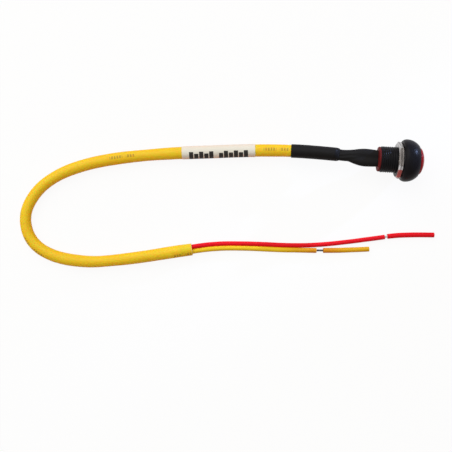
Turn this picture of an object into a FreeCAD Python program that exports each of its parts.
"""Round panic button with a threaded barrel, a hexagonal panel nut and a two-core flying lead.

The button lies on its side as it does on a bench, with its axis along X and its red push cap
towards +X. The lead leaves the rear end, comes down to the bench, turns back in a loop and ends
in two free cores. Everything is in millimetres, +Z is up, and the bench is the plane z = 0.
"""
import FreeCAD, Part
import math
import os

from FreeCAD import Vector

# Head: the domed bezel in front of the panel. Distances along the button are measured from the
# seat, the flat rear face of the head, and count up towards the push cap.
head_radius = 9.8
head_rim_drop = 0.8
head_belly = 2.0
head_height = 7.6
land_width = 0.6
well_depth = 4.2

# Barrel: one piece with the head, threaded M12 x 1 and shown at the thread's crest.
thread_radius = 6.0
barrel_length = 10.2
barrel_wall = 1.1
relief_length = 2.5
relief_depth = 0.3
pilot_length = 0.8
pilot_depth = 0.3

# Push cap with its stem. The cap's crown carries on the line of the bezel's dome.
cap_radius = 6.3
cap_gap = 0.3
cap_crown_radius = 8.6
cap_proud = 0.05
cap_edge_round = 0.3
skirt_clearance = 0.3
travel = 1.5
stem_radius = 1.6
stem_pin_radius = 1.0
stem_pin_tail = 0.3
stem_end_gap = 0.55
guide_length = 4.6

# Return spring between the cap and the floor of the head's well.
spring_wire = 0.4
spring_coil_radius = 2.5
spring_turns = 5
spring_pocket_radius = 3.0
spring_length = 4.4

# Seals: one on the cap, and one in a recess of the seat.
seal_section = 1.0
seal_above_skirt = 1.3
panel_seal_section = 1.0
recess_lip = 0.75

# Contact bridge on the stem, its retaining ring, and the rear contact base with two terminals.
bridge_thickness = 0.6
bridge_overlap = 0.25
clip_radius = 1.35
clip_thickness = 0.4
clip_side_gap = 0.3
contact_head_radius = 0.75
contact_gap = 0.05
shank_radius = 0.6
base_flange_thickness = 0.7
base_chamfer = 0.2
lug_length = 4.5
lug_width = 1.7
lug_thickness = 0.6
solder_radius = 1.05
solder_end_radius = 0.5
solder_standoff = 0.5
solder_overhang = 0.15

# Panel nut.
nut_across_flats = 15.0
nut_thickness = 2.5
nut_turn_deg = 6.5
nut_chamfer_deg = 30.0

# Lead: a round jacket over two cores, and the heat-shrink sleeves on it.
jacket_radius = 2.6
core_radius = 1.05
core_pitch = 2.15
conductor_radius = 0.5
cable_sleeve_wall = 0.25
cable_sleeve_length = 22.4
mouth_length = 1.0
mouth_radius = 2.6
mouth_wall = 0.1
jacket_in_sleeve = 1.5
label_place = 39.2
label_length = 34.5
label_wall = 0.15
joint_sleeve_wall = 0.2
joint_side_gap = 0.4
slug_bore_gap = 0.15
slug_recess = 1.0

# Clearances.
running_gap = 0.05
seat_gap = 0.05
sleeve_gap = 0.05
neck_gap = 0.12
stop_gap = 0.1

# Radii that follow from the ones above.
axis_height = head_radius
well_radius = cap_radius + cap_gap
pilot_radius = thread_radius - pilot_depth
chamber_radius = pilot_radius - barrel_wall
panel_seal_radius = thread_radius + recess_lip + seat_gap + panel_seal_section / 2
terminal_offset = clip_radius + clip_side_gap + contact_head_radius
bridge_radius = terminal_offset + contact_head_radius + bridge_overlap

# Places along the button that follow from the ones above, from the crown back to the lugs.
crown_drop = cap_crown_radius - math.sqrt(cap_crown_radius ** 2 - cap_radius ** 2)
cap_edge = head_height + cap_proud
cap_tip = cap_edge + crown_drop
well_floor = head_height - well_depth
cap_skirt_end = well_floor + travel + skirt_clearance
button_seal_place = cap_skirt_end + seal_above_skirt
spring_roof = well_floor + spring_length
chamber_front = well_floor - guide_length
stem_shoulder = chamber_front - stop_gap
bridge_rear = stem_shoulder - bridge_thickness
clip_rear = bridge_rear - clip_thickness
stem_end = clip_rear - stem_pin_tail
contact_face = bridge_rear - travel - contact_gap
base_front = stem_end - travel - stem_end_gap
nut_front = -seat_gap
nut_rear = nut_front - nut_thickness
rear = -barrel_length - base_flange_thickness
lug_end = rear - lug_length

# The origin lies on the bench under the middle of the button's length.
seat_x = -(cap_tip + lug_end) / 2
rear_x = seat_x + rear

# The joint sleeve's sections, from the button's rear end to the cable sleeve's mouth: distance
# behind that end, sideways shift, drop below the button's axis, width and height.
joint_width = 2 * (terminal_offset + lug_width / 2 + joint_side_gap + joint_sleeve_wall)
joint_height = 2 * (solder_radius + joint_side_gap + joint_sleeve_wall)
neck_width = core_pitch + 2 * (core_radius + neck_gap + joint_sleeve_wall)
neck_height = 2 * (core_radius + neck_gap + joint_sleeve_wall)
joint_sections = [
    (0.1, 0.0, 0.0, joint_width, joint_height),
    (5.9, 0.3, 0.2, joint_width + 0.4, joint_height + 0.1),
    (10.5, 0.6, 0.6, joint_width - 0.7, joint_height - 0.1),
    (14.3, 0.95, 1.05, neck_width + 0.55, neck_height + 0.2),
    (18.3, 1.25, 1.6, neck_width, neck_height),
]

# Routes of the lead, chosen by hand. x is measured from the button's rear end, and z from the
# bench. The jacket's route starts at the mouth of the cable sleeve.
cable_route = [
    (-17.6, 1.2, 8.3), (-25.6, 1.5, 7.4), (-39.6, 2.2, 5.5), (-53.2, 1.9, 3.6),
    (-67.0, 0.8, 2.9), (-80.6, -0.4, 2.9), (-94.4, -1.6, 2.9), (-108.0, -3.2, 2.6),
    (-121.6, -5.4, 2.6), (-135.1, -8.7, 2.6), (-148.4, -14.2, 2.6), (-158.6, -22.6, 2.6),
    (-163.7, -34.5, 2.6), (-159.8, -46.8, 2.6), (-149.0, -53.8, 2.6), (-132.6, -55.0, 2.6),
    (-120.0, -53.6, 2.6), (-106.0, -50.8, 2.6), (-91.6, -47.8, 2.6), (-83.7, -46.1, 2.6),
]
red_core_route = [
    (-83.8, -45.0, 2.6), (-80.0, -44.2, 2.4), (-74.5, -43.2, 1.35), (-67.0, -42.6, 1.05),
    (-54.0, -42.4, 1.05), (-40.5, -42.4, 1.05), (-27.0, -41.7, 1.05), (-14.0, -39.7, 1.05),
    (-0.5, -37.2, 1.05), (6.5, -35.85, 1.05),
]
yellow_core_route = [
    (-83.35, -47.2, 2.6), (-79.5, -46.45, 2.4), (-74.0, -45.55, 1.35), (-66.5, -44.9, 1.05),
    (-54.5, -44.7, 1.05), (-42.5, -44.8, 1.05), (-31.5, -44.4, 1.05), (-25.6, -44.05, 1.05),
]
red_tail_route = [
    (-18.9, 2.4, 8.12), (-15.0, 2.12, 8.66), (-9.8, 2.4, 9.28), (-4.8, 2.4, 9.75),
]
yellow_tail_route = [
    (-18.9, 0.25, 8.12), (-15.0, -0.05, 8.66), (-9.8, -1.35, 9.28), (-4.8, -2.4, 9.75),
]
red_slug_route = [(8.5, -35.15, 1.05), (17.5, -34.0, 1.05), (30.0, -33.5, 1.05)]
yellow_slug_route = [(-21.2, -43.75, 1.05), (-11.0, -42.95, 1.05), (-0.3, -41.85, 1.05)]
red_conductor_start = (6.65, -35.78, 1.05)
yellow_conductor_start = (-25.5, -44.0, 1.05)

ARC_SHARE = 0.45


def outline(start, *steps):
    """Closed face from a start point. A step is a point, or (middle, end) for an arc."""
    here = Vector(*start, 0)
    edges = []
    for step in steps:
        if isinstance(step[0], tuple):
            middle = Vector(*step[0], 0)
            end = Vector(*step[1], 0)
            edges.append(Part.Arc(here, middle, end).toShape())
        else:
            end = Vector(*step, 0)
            edges.append(Part.LineSegment(here, end).toShape())
        here = end
    edges.append(Part.LineSegment(here, Vector(*start, 0)).toShape())
    return Part.Face(Part.Wire(edges))


def on_axis(shape):
    """Moves a shape made about the X axis, with the seat at x = 0, to the button's place."""
    return shape.translated(Vector(seat_x, 0, axis_height))


def turned(face):
    """Full turn of a half section about the X axis."""
    return face.revolve(Vector(0, 0, 0), Vector(1, 0, 0), 360)


def ring(radius, section, place):
    """O-ring of a round section about the X axis."""
    return Part.makeTorus(radius, section / 2, Vector(place, 0, 0), Vector(1, 0, 0))


def rod(radius, start, end, offset=0.0):
    """Round rod parallel to the X axis, from start to end, shifted sideways by offset."""
    return Part.makeCylinder(
        radius, end - start, Vector(start, offset, 0), Vector(1, 0, 0))


def arc_middle(radius, start, end):
    """Middle point of a convex arc of the given radius between two points of a half section."""
    chord_x = end[0] - start[0]
    chord_y = end[1] - start[1]
    chord = math.hypot(chord_x, chord_y)
    rise = radius - math.sqrt(radius ** 2 - (chord / 2) ** 2)
    return (
        (start[0] + end[0]) / 2 + rise * abs(chord_y) / chord,
        (start[1] + end[1]) / 2 + rise * abs(chord_x) / chord,
    )


def level_arc_middle(top, foot):
    """Middle of the arc that leaves top parallel to the axis and ends at foot."""
    across = foot[0] - top[0]
    down = top[1] - foot[1]
    radius = (across ** 2 + down ** 2) / (2 * down)
    half = math.asin(abs(across) / radius) / 2
    return (
        top[0] + math.copysign(radius * math.sin(half), across),
        top[1] - radius * (1 - math.cos(half)),
    )


def make_housing():
    """Bezel and barrel, turned in one piece: a dome, a well for the cap and a rear chamber."""
    belly = (head_belly, head_radius)
    land = (head_height, well_radius + land_width)
    rim = (0, head_radius - head_rim_drop)
    recess_out = panel_seal_radius + panel_seal_section / 2 + seat_gap
    recess_in = panel_seal_radius - panel_seal_section / 2 - seat_gap
    recess_depth = panel_seal_section + 2 * seat_gap
    relief_radius = thread_radius - relief_depth
    thread_end = -barrel_length + pilot_length
    return turned(outline(
        (head_height, well_radius),
        land,
        (level_arc_middle(belly, land), belly),
        (level_arc_middle(belly, rim), rim),
        (0, recess_out),
        (recess_depth, recess_out),
        (recess_depth, recess_in),
        (0, recess_in),
        (0, relief_radius),
        (-relief_length, relief_radius),
        (-relief_length - relief_depth / 2, thread_radius),
        (thread_end, thread_radius),
        (thread_end - pilot_depth, pilot_radius),
        (-barrel_length, pilot_radius),
        (-barrel_length, chamber_radius),
        (chamber_front, chamber_radius),
        (chamber_front, stem_radius + running_gap),
        (well_floor, stem_radius + running_gap),
        (well_floor, well_radius),
    ))


def make_red_button():
    """Domed push cap with a seal groove, a pocket for the spring and a stepped stem."""
    edge = (cap_edge, cap_radius)
    tip = (cap_tip, 0)
    groove_floor = well_radius - seal_section - 2 * running_gap
    groove_half = seal_section / 2 + running_gap
    cap = turned(outline(
        tip,
        (arc_middle(cap_crown_radius, tip, edge), edge),
        (button_seal_place + groove_half, cap_radius),
        (button_seal_place + groove_half, groove_floor),
        (button_seal_place - groove_half, groove_floor),
        (button_seal_place - groove_half, cap_radius),
        (cap_skirt_end, cap_radius),
        (cap_skirt_end, spring_pocket_radius),
        (spring_roof, spring_pocket_radius),
        (spring_roof, stem_radius),
        (stem_shoulder, stem_radius),
        (stem_shoulder, stem_pin_radius),
        (stem_end, stem_pin_radius),
        (stem_end, 0),
    ))
    rim = [e for e in cap.Edges
           if abs(e.BoundBox.XMax - cap_edge) < 1e-4 and abs(e.BoundBox.XMin - cap_edge) < 1e-4]
    return cap.makeFillet(cap_edge_round, rim)


def make_return_spring():
    """Compression spring, a round wire along a helix. Its section is drawn as two half circles."""
    height = spring_length - spring_wire - 2 * running_gap
    helix = Part.makeHelix(height / spring_turns, height, spring_coil_radius)
    slope = Vector(0, 2 * math.pi * spring_coil_radius * spring_turns, height)
    circle = Part.Circle(Vector(spring_coil_radius, 0, 0), slope, spring_wire / 2)
    halves = [
        Part.ArcOfCircle(circle, side * math.pi, (side + 1) * math.pi).toShape()
        for side in (0, 1)]
    wire = Part.Wire(helix).makePipeShell([Part.Wire(halves)], True, True)
    wire.rotate(Vector(0, 0, 0), Vector(0, 1, 0), 90)
    return wire.translated(Vector(well_floor + spring_wire / 2 + running_gap, 0, 0))


def make_contact_bridge():
    """Flat brass washer on the stem's pin, which joins the two contacts when it comes back."""
    plate = rod(bridge_radius, bridge_rear, stem_shoulder)
    return plate.cut(rod(stem_pin_radius + running_gap / 2, bridge_rear, stem_shoulder))


def make_bridge_clip():
    """Push-on ring that holds the bridge on the stem's pin."""
    clip = rod(clip_radius, clip_rear, bridge_rear)
    hole = rod(stem_pin_radius + running_gap / 2, clip_rear, bridge_rear)
    return clip.cut(hole)


def make_contact_base():
    """Red rear plug with a flange on the barrel's end and two bores for the terminals."""
    plug_radius = chamber_radius - running_gap
    base = turned(outline(
        (base_front, 0),
        (base_front, plug_radius),
        (-barrel_length, plug_radius),
        (-barrel_length, pilot_radius),
        (rear + base_chamfer, pilot_radius),
        (rear, pilot_radius - base_chamfer),
        (rear, 0),
    ))
    for side in (1, -1):
        bore = rod(shank_radius + running_gap, rear, base_front, side * terminal_offset)
        base = base.cut(bore)
    return base


def make_terminal(side):
    """Contact head, shank through the base and flat solder lug, in one piece."""
    offset = side * terminal_offset
    head = rod(contact_head_radius, base_front, contact_face, offset)
    shank = rod(shank_radius, rear, base_front, offset)
    lug = Part.makeBox(
        lug_length, lug_width, lug_thickness,
        Vector(lug_end, offset - lug_width / 2, -lug_thickness / 2))
    tip_edges = [e for e in lug.Edges
                 if e.BoundBox.ZLength > lug_thickness / 2
                 and e.BoundBox.XMax < rear - lug_length / 2]
    lug = lug.makeFillet(lug_width / 3, tip_edges)
    return head.fuse([shank, lug]).removeSplitter()


def make_solder(terminal, side):
    """Spindle of solder over the lug and the end of the core."""
    front = rear - solder_standoff
    back = lug_end - solder_overhang
    middle = ((front + back) / 2, solder_radius)
    spindle = turned(outline(
        (front, 0),
        (front, solder_end_radius),
        (middle, (back, solder_end_radius)),
        (back, 0),
    ))
    return spindle.translated(Vector(0, side * terminal_offset, 0)).cut(terminal)


def make_panel_nut():
    """Hexagonal nut, chamfered on both faces, with one flat a few degrees off level."""
    corner_radius = nut_across_flats / math.sqrt(3)
    corners = []
    for k in range(7):
        angle = math.radians(nut_turn_deg + 30 + 60 * k)
        corners.append(Vector(
            nut_rear, corner_radius * math.sin(angle), corner_radius * math.cos(angle)))
    prism = Part.Face(Part.makePolygon(corners)).extrude(Vector(nut_thickness, 0, 0))
    inscribed = nut_across_flats / 2
    drop = (corner_radius - inscribed) * math.tan(math.radians(nut_chamfer_deg))
    lens = turned(outline(
        (nut_rear, 0),
        (nut_rear, inscribed),
        (nut_rear + drop, corner_radius),
        (nut_front - drop, corner_radius),
        (nut_front, inscribed),
        (nut_front, 0),
    ))
    bore = rod(thread_radius + running_gap, nut_rear, nut_front)
    return prism.common(lens).cut(bore)


def placed_route(points):
    """Route points as vectors, with x counted from the button's rear end."""
    return [Vector(rear_x + x, y, z) for x, y, z in points]


def route_edges(points):
    """Straight runs joined by tangent arcs as large as the two runs at each point allow."""
    edges = []
    radii = []
    here = points[0]
    for before, corner, after in zip(points, points[1:], points[2:]):
        arriving = corner - before
        leaving = after - corner
        reach = ARC_SHARE * min(arriving.Length, leaving.Length)
        arriving.normalize()
        leaving.normalize()
        half = arriving.getAngle(leaving) / 2
        radius = reach / math.tan(half)
        inward = leaving - arriving
        inward.normalize()
        start = corner - arriving * reach
        end = corner + leaving * reach
        middle = corner + inward * (radius / math.cos(half) - radius)
        edges.append(Part.LineSegment(here, start).toShape())
        edges.append(Part.Arc(start, middle, end).toShape())
        radii.append(radius)
        here = end
    edges.append(Part.LineSegment(here, points[-1]).toShape())
    return edges, radii


def stretch(edges, start, end):
    """The part of a path between two distances along it."""
    kept = []
    done = 0.0
    for edge in edges:
        low = max(start - done, 0.0)
        high = min(end - done, edge.Length)
        if high - low > 1e-6:
            first = edge.getParameterByLength(low)
            last = edge.getParameterByLength(high)
            kept.append(edge.Curve.toShape(first, last))
        done += edge.Length
    return kept


def tube(name, edges, radius, bore=0.0):
    """Round tube along a path. Its volume is compared with its section times its length."""
    path = Part.Wire(edges)
    start = edges[0].valueAt(edges[0].FirstParameter)
    direction = edges[0].tangentAt(edges[0].FirstParameter)
    solids = []
    for size in (radius, bore):
        if size > 0:
            section = Part.Wire([Part.makeCircle(size, start, direction)])
            solids.append(path.makePipeShell([section], True, False))
    solid = solids[0]
    if bore > 0:
        solid = solids[0].cut(solids[1])
    expected = math.pi * (radius ** 2 - bore ** 2) * path.Length
    print(f"{name}: length {path.Length:.1f}, volume {solid.Volume:.1f}, expected {expected:.1f}")
    return solid


def stadium(width, height, centre):
    """Flat oval wire in a plane across the X axis."""
    radius = height / 2
    half = width / 2 - radius
    top = Vector(0, 0, radius)
    side = Vector(0, half, 0)
    far = Vector(0, half + radius, 0)
    return Part.Wire([
        Part.LineSegment(centre - side + top, centre + side + top).toShape(),
        Part.Arc(centre + side + top, centre + far, centre + side - top).toShape(),
        Part.LineSegment(centre + side - top, centre - side - top).toShape(),
        Part.Arc(centre - side - top, centre - far, centre - side + top).toShape(),
    ])


def make_joint_sleeve():
    """Flat heat-shrink sleeve that narrows from the two terminals to the cable."""
    shells = []
    for wall in (0.0, joint_sleeve_wall):
        sections = []
        for behind, shift, drop, width, height in joint_sections:
            centre = Vector(rear_x - behind, shift, axis_height - drop)
            sections.append(stadium(width - 2 * wall, height - 2 * wall, centre))
        shells.append(Part.makeLoft(sections, True, False))
    return shells[0].cut(shells[1])


def make_cable_sleeve(edges):
    """Round heat-shrink sleeve over the jacket's end, with a mouth that draws in."""
    inner = jacket_radius + sleeve_gap
    outer = inner + cable_sleeve_wall
    start = edges[0].valueAt(0)
    direction = edges[0].tangentAt(0)
    body = tube("cable_sleeve", stretch(edges, mouth_length, cable_sleeve_length), outer, inner)
    cone = Part.makeCone(mouth_radius + mouth_wall, outer, mouth_length, start, direction)
    hollow = Part.makeCone(mouth_radius, inner, mouth_length, start, direction)
    return cone.cut(hollow).fuse(body).removeSplitter()


def make_lead():
    """Jacket, cores, bare conductors, end slugs and the sleeves along the lead."""
    cable, radii = route_edges(placed_route(cable_route))
    cable_length = sum(edge.Length for edge in cable)
    print("cable radii", [round(radius, 1) for radius in radii])
    label_bore = jacket_radius + sleeve_gap
    pieces = {
        "joint_sleeve": make_joint_sleeve(),
        "cable_sleeve": make_cable_sleeve(cable),
        "cable_jacket": tube(
            "cable_jacket", stretch(cable, jacket_in_sleeve, cable_length), jacket_radius),
        "label_sleeve": tube(
            "label_sleeve", stretch(cable, label_place, label_place + label_length),
            label_bore + label_wall, label_bore),
    }
    plain_cores = {
        "red_core": red_core_route,
        "yellow_core": yellow_core_route,
        "red_tail": red_tail_route,
        "yellow_tail": yellow_tail_route,
    }
    for name, route in plain_cores.items():
        edges, radii = route_edges(placed_route(route))
        print(name, "radii", [round(radius, 1) for radius in radii])
        pieces[name] = tube(name, edges, core_radius)
    free_ends = {
        "red": (red_conductor_start, red_slug_route),
        "yellow": (yellow_conductor_start, yellow_slug_route),
    }
    for colour, (start, route) in free_ends.items():
        slug, _ = route_edges(placed_route(route))
        bare, _ = route_edges(placed_route([start] + route))
        bare_length = sum(edge.Length for edge in bare) - slug_recess
        pieces[f"{colour}_slug"] = tube(
            f"{colour}_slug", slug, core_radius, conductor_radius + slug_bore_gap)
        pieces[f"{colour}_conductor"] = tube(
            f"{colour}_conductor", stretch(bare, 0, bare_length), conductor_radius)
    return pieces


def make_button():
    """Every piece of the button itself, made about its axis and moved to its place."""
    terminals = {"red": make_terminal(1), "yellow": make_terminal(-1)}
    pieces = {
        "housing": make_housing(),
        "red_button": make_red_button(),
        "button_seal": ring(
            well_radius - running_gap - seal_section / 2, seal_section, button_seal_place),
        "return_spring": make_return_spring(),
        "contact_bridge": make_contact_bridge(),
        "bridge_clip": make_bridge_clip(),
        "contact_base": make_contact_base(),
        "terminal_red": terminals["red"],
        "terminal_yellow": terminals["yellow"],
        "solder_red": make_solder(terminals["red"], 1),
        "solder_yellow": make_solder(terminals["yellow"], -1),
        "panel_nut": make_panel_nut(),
        "panel_seal": ring(
            panel_seal_radius, panel_seal_section, seat_gap + panel_seal_section / 2),
    }
    return {name: on_axis(shape) for name, shape in pieces.items()}


def main():
    """Builds every piece and writes one file for each."""
    os.makedirs("parts", exist_ok=True)
    pieces = {**make_button(), **make_lead()}
    for name, shape in pieces.items():
        if not shape.isValid():
            print("not valid:", name)
        if len(shape.Solids) == 1:
            shape = shape.Solids[0]
        shape.exportStep(f"parts/{name}.step")
    print(len(pieces), "pieces")


main()
